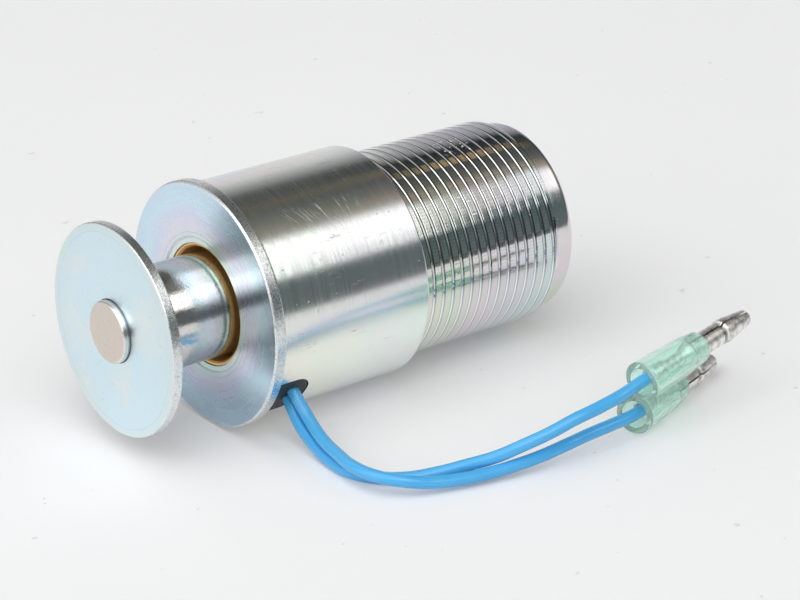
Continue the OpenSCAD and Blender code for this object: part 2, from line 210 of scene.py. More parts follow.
# Case: barrel, helical nose thread with wide flat crests, plain rounded end, bore and lead notch
case = {
    "steps": 192,
    "barrel": 20.0,
    "frontEdge": ((0, 0.18), (0.06, 0.05), (0.2, 0)),  # back from the front, in from the barrel
    "ringStep": 0.7,  # rings are closer together beside the notch
    "ringCount": 12,
    "farRings": (-18, -12, -6, -1.2, -0.5),
    "shoulder": ((-0.4, 0), (-0.3, 0.02), (-0.08, 0.2), (0, 0.32)),  # along, in from the barrel
    "pitch": 2.0,
    "crest": 18.0,
    "groove": ((0.0, 0.0), (0.03, 0.0), (0.3, 0.0), (0.56, 0.0), (0.58, 0.0), (0.7, 0.045), (0.735, 0.17),
               (0.775, 0.17), (0.85, 0.03)),  # share of the pitch, depth
    "fadeIn": 0.7,
    "threadTurns": 16,
    "threadEnd": 30.3,
    "runOut": 1.3,  # slope of the chamfer there
    "plain": 16.95,
    "end": 34.1,
    "endRound": 1.4,
    "endWall": 4,
    "bore": 15.0,
    "boreRound": 0.3,
    "sharp": (25, 30),  # before and after the notch is cut
}


def threadRing(turnCount, depth):
    points = []
    for k in range(case["steps"] + 1):
        share = k / case["steps"]
        x = case["pitch"] * (turnCount + share)
        x = min(max(x, 0.0), case["threadEnd"])
        r = case["crest"] - depth * min(1.0, x / case["fadeIn"])
        r = min(r, case["plain"] + (case["threadEnd"] - x) * case["runOut"])
        points.append((x, r * math.cos(fullTurn * share), r * math.sin(fullTurn * share)))
    return points


def caseRings():
    steps, barrel = case["steps"], case["barrel"]
    outline = [(barrelFront, case["bore"])]
    outline += [(barrelFront + back, barrel - inward) for back, inward in case["frontEdge"]]
    outline += [(barrelFront + case["ringStep"] * k, barrel) for k in range(1, case["ringCount"] + 1)]
    outline += [(x, barrel) for x in case["farRings"]]
    outline += [(x, barrel - inward) for x, inward in case["shoulder"]]
    outline.append((0, case["crest"]))
    rings = [ringPoints(x, r, steps) for x, r in outline]
    # the helix starts a turn early, so that it meets the shoulder all round
    for turn in range(-1, case["threadTurns"]):
        rings += [threadRing(turn + share, depth) for share, depth in case["groove"]]
    rings.append(threadRing(case["threadTurns"] + 1, 0))
    end = case["end"]
    floor = end - case["endWall"]
    tail = softened([
        (case["threadEnd"], case["plain"], 0), (end, case["plain"], case["endRound"]), (end, 0, 0),
        (floor, 0, 0), (floor, case["bore"], case["boreRound"]), (barrelFront, case["bore"], 0)])
    rings += [ringPoints(x, r, steps) for x, r in tail[:-1]]
    return rings


def notchOutline(gap):
    # open towards the plate, with round corners at its inner end
    front = barrelFront + gap
    end = barrelFront + notch["length"] - gap
    half = notch["half"] - gap
    corner = notch["corner"] - gap
    points = [(front, -half)]
    for side, first in ((-1, -90), (1, 0)):
        for k in range(notch["cornerSteps"] + 1):
            a = math.radians(first + 90 * k / notch["cornerSteps"])
            x = end - corner + corner * math.cos(a)
            points.append((x, side * (half - corner) + corner * math.sin(a)))
    points.append((front, half))
    return points


def closed(row):
    return row + row[:1]


def cutNotch(piece):
    outline = notchOutline(0)
    outline[0] = (notch["cutFrom"], -notch["half"])
    outline[-1] = (notch["cutFrom"], notch["half"])
    bm = bmesh.new()
    rings = [[notchPoint(x, aside, height) for x, aside in outline] for height in notch["cutHeights"]]
    low, high = rowsOf(bm, rings)
    bridge(bm, closed(low), closed(high))
    bm.faces.new(low[::-1])
    bm.faces.new(high)
    cutter = finished("notch_cutter", bm, even=False)
    cut = piece.modifiers.new("notch", "BOOLEAN")
    cut.object = cutter
    cut.solver = "EXACT"
    bpy.context.view_layer.update()
    shaped = piece.evaluated_get(bpy.context.evaluated_depsgraph_get())
    mesh = bpy.data.meshes.new_from_object(shaped)
    piece.modifiers.clear()
    piece.data = mesh
    smoothed(mesh, case["sharp"][1])
    bpy.data.objects.remove(cutter)
    evenShading(piece)


casePiece = lofted("case_shell", caseRings(), sharp=case["sharp"][0], even=False)
cutNotch(casePiece)
print("case turned, threaded and notched:", len(casePiece.data.polygons), "faces")


# Front plate, guide tube, plunger and disc, as outlines of (x, radius, rounding)
plate = {
    "steps": 192,
    "outline": [
        (-31.7, 10.55, 0.05), (-31.7, 11.35, 0.1), (-32, 11.65, 0.12), (-32, 20.7, 0.1), (-31.7, 21, 0.1),
        (-30.05, 21, 0.12), (-29.8, 20.75, 0.05), (-29.8, 14.95, 0), (-28.9, 14.95, 0.1), (-28.6, 14.65, 0.1),
        (-28.6, 10.55, 0)],
    "rimFrom": 20.72,
}
guide = {
    "steps": 160,
    "outline": [(-31.5, 10.15, 0.1), (-31.5, 10.5, 0.1), (24, 10.5, 0), (24, 9.8, 0), (-31.15, 9.8, 0.1)],
}
plunger = {
    "steps": 160,
    "outline": [
        (-50.7, 0, 0), (-50.7, 5.05, 0.08), (-50.45, 5.3, 0.08), (-47.7, 5.3, 0), (-47.7, 8.9, 0.15),
        (-28, 8.9, 0.1), (-28, 9.25, 0.1), (-27.5, 9.75, 0.1), (-5.5, 9.75, 0.1), (-5, 9.25, 0.1),
        (-5, 4.6, 0.1), (-20, 4.6, 0), (-20, 0, 0)],
    "faceFrom": -50.6,
}
disc = {
    "steps": 192,
    "outline": [(-49.5, 5.35, 0.15), (-49.5, 18, 0.32), (-47.7, 18, 0.32), (-47.7, 5.35, 0)],
    "rimFrom": 17.85,
}
platePiece = turned("plate_ring", plate)
tubePiece = turned("guide_liner", guide)
plungerPiece = turned("plunger_bar", plunger)
discPiece = turned("disc_stamping", disc)
print("plate, liner, plunger and disc turned")


# Grommet: rubber plug with a soft edge, following the barrel's curve
grommet = {
    "layers": ((0.05, 4.9), (0.05, 0.55), (0.1, 0.25), (0.22, 0.08), (0.45, 0.0)),  # gap to the notch, depth
    "sharp": 50,
}


def mouldGrommet():
    rings = []
    for gap, depth in grommet["layers"]:
        r = case["barrel"] - depth
        outline = notchOutline(gap)
        rings.append([notchPoint(x, aside, math.sqrt(r ** 2 - aside * aside)) for x, aside in outline])
    bm = bmesh.new()
    rows = rowsOf(bm, rings)
    for a, b in zip(rows, rows[1:]):
        bridge(bm, closed(a), closed(b))
    bm.faces.new(rows[0][::-1])
    top = bm.faces.new(rows[-1])
    bmesh.ops.triangulate(bm, faces=[top])
    return finished("grommet_plug", bm, grommet["sharp"])


grommetPiece = mouldGrommet()
print("grommet moulded")


# Terminals and sleeves, on their own axes
terminals = {
    "at": ((18.6, -52.2, -9.059), (19.1, -50.2, -15.859)),
    "yaw": (8.7, 19.8),
    "rise": (6.3, -1.6),
    "roll": (18, 76),
}
bullets = {
    "steps": 56,
    "sharp": 40,
    "seam": 0.35,
    "crimpSeam": 0.04,
    "seamFrom": 11.4,  # the crimp before this is closed
    "outline": [
        (2, 1.1, 0.05), (2, 1.5, 0.1), (5, 1.5, 0.2), (5.8, 1.15, 0.3), (9.4, 1.15, 0.5), (11.6, 1.95, 0.5),
        (19.5, 1.95, 0.06), (19.8, 1.5, 0.06), (20.35, 1.5, 0.06), (20.7, 2.1, 0.06), (21.9, 2.1, 0.25),
        (27.15, 1.35, 0.25), (27.4, 1.1, 0.15), (27.4, 0.7, 0), (21.9, 1.5, 0), (21.1, 1.5, 0),
        (20.7, 1.15, 0), (19.5, 1.15, 0), (19.1, 1.55, 0), (11.6, 1.55, 0), (9.4, 0.75, 0), (5.8, 0.75, 0),
        (5, 1.1, 0)],
}
sleeves = {
    "steps": 72,
    "outline": [
        (0, 2.3, 0.2), (0, 3.4, 0.35), (9.8, 3.15, 1.6), (13.2, 2.88, 0.8), (14.8, 2.6, 0.4), (14.8, 2, 0.05),
        (11.6, 2, 0.1), (11.3, 2.15, 0.1)],
}


def terminalPlace(i):
    yaw, rise, roll = (math.radians(terminals[k][i]) for k in ("yaw", "rise", "roll"))
    place = Matrix.Translation(Vector(terminals["at"][i]) * mm)
    return (place @ Matrix.Rotation(yaw, 4, "Z") @ Matrix.Rotation(-rise, 4, "Y")
            @ Matrix.Rotation(roll, 4, "X"))


def rollBullet(name):
    # rolled tube with an open seam, so its rings stop short of each other
    steps = bullets["steps"]
    rings = []
    for x, r in softened(bullets["outline"]):
        seam = bullets["seam"] if x > bullets["seamFrom"] else bullets["crimpSeam"]
        gap = math.asin(seam / 2 / r)
        turns = [math.pi / 2 + gap + (fullTurn - 2 * gap) * k / steps for k in range(steps + 1)]
        rings.append([(x, r * math.cos(t), r * math.sin(t)) for t in turns])
    bm = bmesh.new()
    rows = rowsOf(bm, rings)
    for a, b in zip(rows, rows[1:] + rows[:1]):
        bridge(bm, a, b)
    bm.faces.new([row[0] for row in rows])
    bm.faces.new([row[-1] for row in rows][::-1])
    return finished(name, bm, bullets["sharp"])


bulletPieces = []
sleevePieces = []
for i in (0, 1):
    bulletPieces.append(rollBullet(f"bullet_{i + 1}"))
    sleevePieces.append(turned(f"sleeve_tube_{i + 1}", sleeves))
    for piece in (bulletPieces[i], sleevePieces[i]):
        piece.matrix_world = terminalPlace(i)
print("terminals rolled and sleeved")


# Return spring, swept along its helix
spring = {
    "wire": 0.45,
    "mean": 3.65,
    "turns": 9,
    "ends": (-20.0, 11.7),
    "gap": 0.05,
    "closed": 0.945,  # pitch of the first and last turn
    "steps": 32,
    "sides": 12,
    "sharp": 60,
}


def coilSpring():
    wire, steps, sides = spring["wire"], spring["steps"], spring["sides"]
    first = spring["ends"][0] + spring["gap"] + wire
    last = spring["ends"][1] - spring["gap"] - wire
    openTurns = spring["turns"] - 2
    openPitch = (last - first - 2 * spring["closed"]) / openTurns
    rings = []
    for k in range(spring["turns"] * steps + 1):
        turn = k / steps
        ends = min(turn, 1) + max(turn - openTurns - 1, 0)
        x = first + spring["closed"] * ends + openPitch * min(max(turn - 1, 0), openTurns)
        out = Vector((0, math.cos(fullTurn * turn), math.sin(fullTurn * turn)))
        ring = []
        for j in range(sides + 1):
            a = fullTurn * j / sides
            ring.append(out * (spring["mean"] + wire * math.cos(a)) + Vector((x + wire * math.sin(a), 0, 0)))
        rings.append(ring)
    piece = lofted("spring_coil", rings, spring["sharp"], loop=False, even=False)
    bm = bmesh.new()
    bm.from_mesh(piece.data)
    bmesh.ops.holes_fill(bm, edges=bm.edges, sides=0)
    bm.to_mesh(piece.data)
    bm.free()
    return piece


springCoil = coilSpring()
print("spring coiled")


# Node helpers
def put(tree, kind, feeds=None, **settings):
    node = tree.nodes.new("ShaderNode" + kind)
    for name, value in settings.items():
        setattr(node, name, value)
    for socket, value in (feeds or {}).items():
        if isinstance(value, bpy.types.NodeSocket):
            tree.links.new(value, node.inputs[socket])
        else:
            node.inputs[socket].default_value = value
    return node


def link(tree, value, socket):
    tree.links.new(value, socket)


def calc(tree, operation, a, b=0.0, clamp=False):
    return put(tree, "Math", {0: a, 1: b}, operation=operation, use_clamp=clamp).outputs[0]


def times(tree, a, b):
    return calc(tree, "MULTIPLY", a, b)


def plus(tree, a, b, clamp=False):
    return calc(tree, "ADD", a, b, clamp)


def layered(tree, start, *layers):
    # adds each (value, weight) to the start
    for value, weight in layers:
        start = plus(tree, start, times(tree, value, weight))
    return start


def span(tree, value, low, high, first=0.0, last=1.0, smooth=True):
    feeds = {"Value": value, "From Min": low, "From Max": high, "To Min": first, "To Max": last}
    kind = "SMOOTHSTEP" if smooth else "LINEAR"
    return put(tree, "MapRange", feeds, interpolation_type=kind).outputs[0]


def spread(tree, value, first=0.0, last=1.0):
    # most of a noise lies between these two
    return span(tree, value, 0.3, 0.7, first, last)


def within(tree, value, low, high, soft):
    up = span(tree, value, low - soft, low + soft)
    return times(tree, up, span(tree, value, high + soft, high - soft))


def blendColour(tree, share, a, b, how="MIX"):
    return put(tree, "Mix", {0: share, 6: a, 7: b}, data_type="RGBA", blend_type=how).outputs[2]


def blendValue(tree, share, a, b):
    return put(tree, "Mix", {0: share, 2: a, 3: b}).outputs[0]


def noise(tree, vector, scale, detail=2.0, rough=0.5):
    feeds = {"Vector": vector, "Scale": scale, "Detail": detail, "Roughness": rough}
    return put(tree, "TexNoise", feeds).outputs["Fac"]


def objectSpot(tree):
    return put(tree, "TexCoord").outputs["Object"]


def joined(tree, x, y, z):
    return put(tree, "CombineXYZ", {0: x, 1: y, 2: z}).outputs[0]


def ramp(tree, share, stops):
    node = put(tree, "ValToRGB", {0: share})
    elements = node.color_ramp.elements
    while len(elements) < len(stops):
        elements.new(0.5)
    for element, (place, colour) in zip(elements, stops):
        element.position = place
    for element, (place, colour) in zip(elements, stops):
        element.color = (*colour, 1)
    return node.outputs[0]


def newGroup(name, inputs, *outputs):
    # an output is a value, unless it is a tint
    tree = bpy.data.node_groups.new(name, "ShaderNodeTree")
    for label, value in inputs.items():
        socket = tree.interface.new_socket(label, in_out="INPUT", socket_type="NodeSocketFloat")
        socket.default_value = value
    for label in outputs:
        kind = "NodeSocketColor" if label == "tint" else "NodeSocketFloat"
        tree.interface.new_socket(label, in_out="OUTPUT", socket_type=kind)
    return tree, tree.nodes.new("NodeGroupInput").outputs, tree.nodes.new("NodeGroupOutput").inputs


def useGroup(tree, group, **feeds):
    return put(tree, "Group", feeds, node_tree=group).outputs


# Place on a turned piece: millimetres along the axis, turn about it and radius
def roundPlaceGroup():
    tree, _, result = newGroup("roundPlace", {}, "along", "turn", "radius")
    x, y, z = put(tree, "SeparateXYZ", {0: objectSpot(tree)}).outputs
    radius = calc(tree, "SQRT", plus(tree, calc(tree, "POWER", y, 2.0), calc(tree, "POWER", z, 2.0)))
    link(tree, times(tree, x, 1 / mm), result["along"])
    link(tree, calc(tree, "ARCTAN2", z, y), result["turn"])
    link(tree, times(tree, radius, 1 / mm), result["radius"])
    return tree


roundPlace = roundPlaceGroup()


# Tool marks that run round a turned face, as a height and as light streaks
def toolMarksGroup():
    tree, given, result = newGroup("toolMarks", {"fineness": 6.0, "wander": 1.5}, "height", "streak")
    coarser = 0.22
    place = useGroup(tree, roundPlace)
    across = plus(tree, place["along"], place["radius"])
    c = times(tree, calc(tree, "COSINE", place["turn"]), given["wander"])
    s = times(tree, calc(tree, "SINE", place["turn"]), given["wander"])
    fine = joined(tree, times(tree, across, given["fineness"]), c, s)
    coarse = joined(tree, times(tree, across, times(tree, given["fineness"], coarser)), c, s)
    link(tree, noise(tree, fine, 1.0, 3.0, 0.6), result["height"])
    link(tree, noise(tree, coarse, 1.0, 3.0, 0.6), result["streak"])
    return tree


toolMarks = toolMarksGroup()


# Rainbow of a clear passivate film: blue, yellow, green, pink and lilac by film depth
rainbow = [
    (0.0, (0.78, 0.90, 1.0)), (0.16, (1.0, 0.97, 0.78)), (0.32, (0.88, 1.0, 0.82)), (0.5, (1.0, 0.84, 0.92)),
    (0.66, (0.9, 0.85, 1.0)), (0.82, (0.8, 0.98, 1.0)), (1.0, (0.78, 0.90, 1.0)),
]


def filmGroup():
    tree, given, result = newGroup("film", {"depth": 0.0, "strength": 0.5, "patch": 0.15}, "tint")
    uneven = calc(tree, "SUBTRACT", noise(tree, objectSpot(tree), 120.0), 0.5)
    depth = calc(tree, "FRACT", plus(tree, given["depth"], times(tree, uneven, given["patch"])))
    colour = ramp(tree, depth, rainbow)
    link(tree, blendColour(tree, given["strength"], (1, 1, 1, 1), colour), result["tint"])
    return tree


film = filmGroup()


# Handling: long scuffs, small nicks and soft finger smudges
def handlingGroup():
    tree, given, result = newGroup("handling", {"size": 1.0}, "scuff", "nick", "smudge")
    alongPart = (220.0, 1800.0, 1500.0)
    size = calc(tree, "DIVIDE", 1.0, given["size"])
    spot = put(tree, "VectorMath", {0: objectSpot(tree), "Scale": size}, operation="SCALE").outputs[0]
    stretched = put(tree, "VectorMath", {0: spot, 1: alongPart}, operation="MULTIPLY").outputs[0]
    scuff = span(tree, noise(tree, stretched, 1.0, 2.0, 0.55), 0.6, 0.72)
    zone = span(tree, noise(tree, spot, 90.0), 0.48, 0.62)
    link(tree, times(tree, scuff, zone), result["scuff"])
    link(tree, span(tree, noise(tree, spot, 900.0, 1.0), 0.73, 0.78), result["nick"])
    link(tree, span(tree, noise(tree, spot, 60.0, 3.0, 0.6), 0.35, 0.75), result["smudge"])
    return tree


handling = handlingGroup()


# Grain of a sheared or rolled surface
def grainGroup():
    tree, given, result = newGroup("grain", {"scale": 2500.0}, "height", "speck")
    height = noise(tree, objectSpot(tree), given["scale"], 3.0, 0.6)
    link(tree, height, result["height"])
    link(tree, span(tree, height, 0.55, 0.7), result["speck"])
    return tree


grain = grainGroup()
print("effect groups built")


# Materials
def newMaterial(name, **shader):
    material = bpy.data.materials.new(name)
    material.use_nodes = True
    tree = material.node_tree
    surface = tree.nodes["Principled BSDF"]
    for label, value in shader.items():
        surface.inputs[label.replace("_", " ")].default_value = value
    return material, tree, surface.inputs


def coat(tree, sockets, colour, rough):
    link(tree, colour, sockets["Base Color"])
    link(tree, rough, sockets["Roughness"])


def relief(tree, sockets, height, depth=1.0):
    # height of 1 is depth millimetres
    feeds = {"Height": height, "Distance": depth * mm, "Strength": 1.0}
    link(tree, put(tree, "Bump", feeds).outputs[0], sockets["Normal"])


def brushedRound(tree, sockets):
    link(tree, put(tree, "Tangent", direction_type="RADIAL", axis="X").outputs[0], sockets["Tangent"])


def barrelZinc():
    look = {
        "upper": (0.83, 0.855, 0.85, 1), "cream": (0.94, 0.925, 0.865, 1), "cool": (0.88, 0.94, 0.925, 1),
        "scuffed": (0.42, 0.42, 0.4, 1), "film": 0.3, "rough": 0.2, "streak": (-0.032, 0.036),
        "fanTip": (-10.5, 62.4), "fanAlong": (-22.5, -9.0, 2.5), "fanRound": (41.0, 46.0, 2.0),
    }
    material, tree, sockets = newMaterial(
        "bright_zinc_barrel", Metallic=1.0, Anisotropic=0.35, Anisotropic_Rotation=0.25)
    place = useGroup(tree, roundPlace)
    wear = useGroup(tree, handling, size=1.0)
    marks = useGroup(tree, toolMarks, fineness=11.0, wander=1.0)
    # painted reflection tint: grey above, lighter cream to cool green below, standing in for the floor seen
    # in the lower side
    low = span(tree, calc(tree, "SINE", place["turn"]), 0.35, -0.4)
    lower = blendColour(tree, span(tree, place["along"], -30.0, -4.0), look["cream"], look["cool"])
    depth = layered(tree, times(tree, place["along"], 0.008), (place["turn"], 0.2))
    tint = useGroup(tree, film, depth=depth, strength=look["film"], patch=0.5)["tint"]
    colour = blendColour(tree, 1.0, blendColour(tree, low, look["upper"], lower), tint, "MULTIPLY")
    colour = blendColour(tree, times(tree, wear["scuff"], 0.28), colour, look["scuffed"])
    # fan of fine scratches above the highlight, meeting at a tip below it
    tipAlong, tipRound = look["fanTip"]
    arc = times(tree, place["turn"], case["barrel"])
    fan = calc(tree, "DIVIDE", plus(tree, place["along"], -tipAlong), calc(tree, "SUBTRACT", tipRound, arc))
    lines = noise(tree, joined(tree, times(tree, fan, 70.0), times(tree, arc, 0.22), 0.0), 1.0)
    zone = times(tree, within(tree, place["along"], *look["fanAlong"]), within(tree, arc, *look["fanRound"]))
    scratch = times(tree, span(tree, lines, 0.58, 0.68), zone)
    rough = plus(tree, look["rough"], spread(tree, marks["streak"], *look["streak"]))
    rough = layered(tree, rough, (wear["scuff"], 0.12), (wear["smudge"], 0.03), (scratch, 0.3))
    coat(tree, sockets, colour, rough)
    relief(tree, sockets, layered(tree, times(tree, marks["height"], 0.0018), (wear["nick"], -0.015)))
    brushedRound(tree, sockets)
    return material


def threadZinc():
    look = {
        "metal": (0.78, 0.80, 0.79, 1), "flank": (0.6, 0.61, 0.61, 1), "flankHighlightBelow": (0.97, 0.98, 0.98, 1),
        "edge": (0.17, 0.18, 0.19, 1), "edgeShadeBelow": (0.52, 0.54, 0.54, 1), "film": 0.8, "rough": 0.07,
        "plainRough": 0.13, "edgeShadeRadius": (17.964, 17.996, 0.003), "flankShadingRadius": (17.96, 17.94),
        # bruised crests on top: along and turn, each with a soft border
        "bruises": (((14.8, 20.6, 0.7), (1.6, 1.84, 0.06)), ((29.2, 30.4, 0.3), (1.5, 1.64, 0.04))),
    }
    material, tree, sockets = newMaterial("bright_zinc_thread", Metallic=1.0)
    place = useGroup(tree, roundPlace)
    wear = useGroup(tree, handling, size=0.7)
    marks = useGroup(tree, toolMarks, fineness=14.0, wander=0.8)
    sine = calc(tree, "SINE", place["turn"])
    low = span(tree, sine, 0.5, -0.5, 0.45, 1.0)
    onLow = span(tree, low, 0.6, 0.95)
    onThread = span(tree, place["along"], 30.25, 30.05)
    # film deepens along the nose; the plain side past the thread turns from pink to cream below
    depth = layered(tree, span(tree, place["along"], 0.0, 34.0, 0.14, 0.98, smooth=False), (sine, -0.06))
    onPlain = times(tree, calc(tree, "SUBTRACT", 1.0, onThread), span(tree, place["radius"], 15.4, 16.4))
    depth = blendValue(tree, onPlain, depth, span(tree, sine, -0.75, -0.25, 0.2, 0.5))
    strength = times(tree, low, look["film"])
    tint = useGroup(tree, film, depth=depth, strength=strength, patch=0.2)["tint"]
    colour = blendColour(tree, 1.0, look["metal"], tint, "MULTIPLY")
    # painted shade: dark line on the bevels beside each crest, standing in for the groove's shadow, lighter
    # on the lower side
    edge = times(tree, within(tree, place["radius"], *look["edgeShadeRadius"]), onThread)
    colour = blendColour(tree, edge, colour, blendColour(tree, onLow, look["edge"], look["edgeShadeBelow"]))
    # painted highlight and shade: the deep flanks are duller above and whiter below, setting the brightness
    # of the line reflected on them
    flank = times(tree, span(tree, place["radius"], *look["flankShadingRadius"]), onThread)
    colour = blendColour(tree, flank, colour, blendColour(tree, onLow, look["flank"], look["flankHighlightBelow"]))
    rough = span(tree, onThread, 0.0, 1.0, look["plainRough"], look["rough"])
    rough = layered(tree, rough, (wear["scuff"], 0.15))
    rough = plus(tree, rough, span(tree, marks["streak"], 0.4, 0.75, 0.0, 0.05))
    coat(tree, sockets, colour, rough)
    bruises = [times(tree, within(tree, place["along"], *along), within(tree, place["turn"], *turn))
               for along, turn in look["bruises"]]
    chips = span(tree, noise(tree, objectSpot(tree), 1300.0), 0.6, 0.7)
    chips = times(tree, chips, calc(tree, "MAXIMUM", *bruises))
    height = layered(tree, times(tree, marks["height"], 0.0012), (wear["nick"], -0.012), (chips, 0.16))
    relief(tree, sockets, height)
    return material


def plateFace():
    look = {
        "inner": (0.76, 0.86, 0.91, 1), "outer": (0.75, 0.84, 0.92, 1), "low": (0.55, 0.65, 0.73, 1),
        "line": (0.3, 0.34, 0.36, 1), "film": 0.75, "rough": 0.25, "streak": (-0.02, 0.03),
    }
    material, tree, sockets = newMaterial(
        "bright_zinc_plate_face", Metallic=1.0, Anisotropic=0.6, Anisotropic_Rotation=0.25)
    place = useGroup(tree, roundPlace)
    wear = useGroup(tree, handling, size=0.6)
    marks = useGroup(tree, toolMarks, fineness=5.0, wander=1.2)
    metal = blendColour(tree, span(tree, place["radius"], 12.0, 20.0), look["inner"], look["outer"])
    # painted shade: the face is darker and bluer towards the bottom, standing in for the shade it reflects
    # from under the disc
    low = span(tree, calc(tree, "SINE", place["turn"]), -0.35, -0.85)
    depth = span(tree, place["radius"], 10.0, 21.0, 0.3, 1.05, smooth=False)
    tint = useGroup(tree, film, depth=depth, strength=look["film"], patch=0.4)["tint"]
    colour = blendColour(tree, 1.0, blendColour(tree, low, metal, look["low"]), tint, "MULTIPLY")
    # thin dark lines left by the tool round the hole
    outerLine = within(tree, place["radius"], 12.35, 12.45, 0.05)
    lines = plus(tree, outerLine, within(tree, place["radius"], 11.66, 11.74, 0.04))
    colour = blendColour(tree, times(tree, lines, 0.45), colour, look["line"])
    rough = plus(tree, look["rough"], spread(tree, marks["streak"], *look["streak"]))
    coat(tree, sockets, colour, layered(tree, rough, (wear["smudge"], 0.05)))
    relief(tree, sockets, marks["height"], 0.0012)
    brushedRound(tree, sockets)
    return material


def shearedRim():
    look = {"metal": (0.78, 0.80, 0.80, 1), "dull": (0.5, 0.53, 0.54, 1), "rough": (0.2, 0.34)}
    material, tree, sockets = newMaterial("bright_zinc_rim", Metallic=1.0)
    grit = useGroup(tree, grain, scale=2700.0)
    colour = blendColour(tree, grit["speck"], look["metal"], look["dull"])
    coat(tree, sockets, colour, spread(tree, grit["height"], *look["rough"]))
    relief(tree, sockets, grit["height"], 0.032)
    return material


def discZinc():
    look = {
        "face": (0.70, 0.86, 0.93, 1), "cream": (0.82, 0.87, 0.84, 1), "edge": (0.74, 0.83, 0.83, 1),
        "speck": (0.42, 0.46, 0.46, 1), "pore": (0.62, 0.68, 0.66, 1), "back": (0.22, 0.25, 0.26, 1),
        "rough": 0.3, "hairTurn": (0.5, 0.0, 0.0), "hairScale": (900.0, 150.0, 2400.0),
    }
    material, tree, sockets = newMaterial("bright_zinc_disc", Metallic=1.0)
    place = useGroup(tree, roundPlace)
    wear = useGroup(tree, handling, size=0.8)
    grit = useGroup(tree, grain, scale=1300.0)
    spot = objectSpot(tree)
    mottle = span(tree, noise(tree, spot, 90.0, 4.0, 0.6), 0.44, 0.68)
    colour = blendColour(tree, times(tree, mottle, 0.6), look["face"], look["cream"])
    edge = times(tree, span(tree, place["radius"], 16.7, 17.1), 0.6)
    colour = blendColour(tree, edge, colour, look["edge"])
    # faint stamped line near the edge, small specks and hairlines
    line = times(tree, within(tree, place["radius"], 16.55, 16.65, 0.06), 0.3)
    specks = span(tree, noise(tree, spot, 1500.0, 1.0), 0.7, 0.76)
    drawnOut = put(tree, "Mapping", {0: spot, 2: look["hairTurn"], 3: look["hairScale"]}).outputs[0]
    hair = span(tree, noise(tree, drawnOut, 1.0, 1.0), 0.77, 0.83)
    marked = plus(tree, line, times(tree, plus(tree, specks, hair), 0.22), clamp=True)
    colour = blendColour(tree, marked, colour, look["speck"])
    pores = times(tree, plus(tree, grit["speck"], span(tree, place["radius"], 11.0, 17.5)), 0.13)
    colour = blendColour(tree, pores, colour, look["pore"])
    back = span(tree, place["along"], -48.4, -48.1)  # painted shade: the back, facing the plate, is made dark to stand in for the shade between disc and plate
    colour = blendColour(tree, back, colour, look["back"])
    coat(tree, sockets, colour, layered(tree, look["rough"], (wear["smudge"], 0.1)))
    relief(tree, sockets, layered(tree, times(tree, grit["height"], 0.013), (wear["nick"], -0.03)))
    return material


def plungerSteel():
    look = {
        "neck": (0.75, 0.72, 0.69, 1), "ring": (0.54, 0.59, 0.57, 1), "speck": (0.36, 0.36, 0.35, 1),
        "spigotFootShade": (0.3, 0.3, 0.3, 1), "rough": 0.12, "streak": (-0.02, 0.05),
    }
    material, tree, sockets = newMaterial("satin_plunger", Metallic=1.0)
    place = useGroup(tree, roundPlace)
    grit = useGroup(tree, grain, scale=2400.0)
    marks = useGroup(tree, toolMarks, fineness=8.0, wander=2.0)
    # painted reflection: greener grey band on the neck near the hole, standing in for the plate reflected in
    # it
    ring = times(tree, span(tree, place["along"], -36.5, -34.5), 0.8)
    colour = blendColour(tree, ring, look["neck"], look["ring"])
    colour = blendColour(tree, times(tree, grit["speck"], 0.35), colour, look["speck"])
    spigotFootShade = within(tree, place["along"], -49.85, -49.0, 0.1)  # painted shade: dark band where the spigot leaves the disc
    colour = blendColour(tree, spigotFootShade, colour, look["spigotFootShade"])
    rough = plus(tree, look["rough"], spread(tree, marks["streak"], *look["streak"]))
    coat(tree, sockets, colour, rough)
    relief(tree, sockets, layered(tree, times(tree, marks["height"], 0.001), (grit["height"], 0.019)))
    return material


def spigotFace():
    look = {"face": (0.71, 0.635, 0.57, 1), "worn": (0.65, 0.6, 0.55, 1), "rough": (0.33, 0.41)}
    material, tree, sockets = newMaterial("bare_spigot_face", Metallic=1.0)
    place = useGroup(tree, roundPlace)
    grit = useGroup(tree, grain, scale=1500.0)
    colour = blendColour(tree, grit["speck"], look["face"], look["worn"])
    coat(tree, sockets, colour, spread(tree, grit["height"], *look["rough"]))
    pip = span(tree, place["radius"], 0.28, 0.1)  # pip left by the lathe tool
    relief(tree, sockets, layered(tree, times(tree, grit["height"], 0.006), (pip, -0.1)))
    return material


def drawnBrass():
    look = {"clean": (0.80, 0.55, 0.26, 1), "dull": (0.86, 0.43, 0.14, 1), "rough": (0.2, 0.34)}
    material, tree, sockets = newMaterial("drawn_brass")
    place = useGroup(tree, roundPlace)
    marks = useGroup(tree, toolMarks, fineness=5.0, wander=1.5)
    stain = spread(tree, noise(tree, objectSpot(tree), 300.0, 4.0, 0.6))
    inside = calc(tree, "SUBTRACT", 1.0, span(tree, place["radius"], 9.9, 10.35))
    share = plus(tree, times(tree, inside, 0.75), times(tree, stain, 0.35), clamp=True)
    colour = blendColour(tree, share, look["clean"], look["dull"])
    coat(tree, sockets, colour, layered(tree, span(tree, stain, 0.0, 1.0, *look["rough"]), (inside, 0.15)))
    link(tree, span(tree, inside, 0.0, 1.0, 1.0, 0.35), sockets["Metallic"])  # tarnish inside
    relief(tree, sockets, marks["height"], 0.005)
    return material


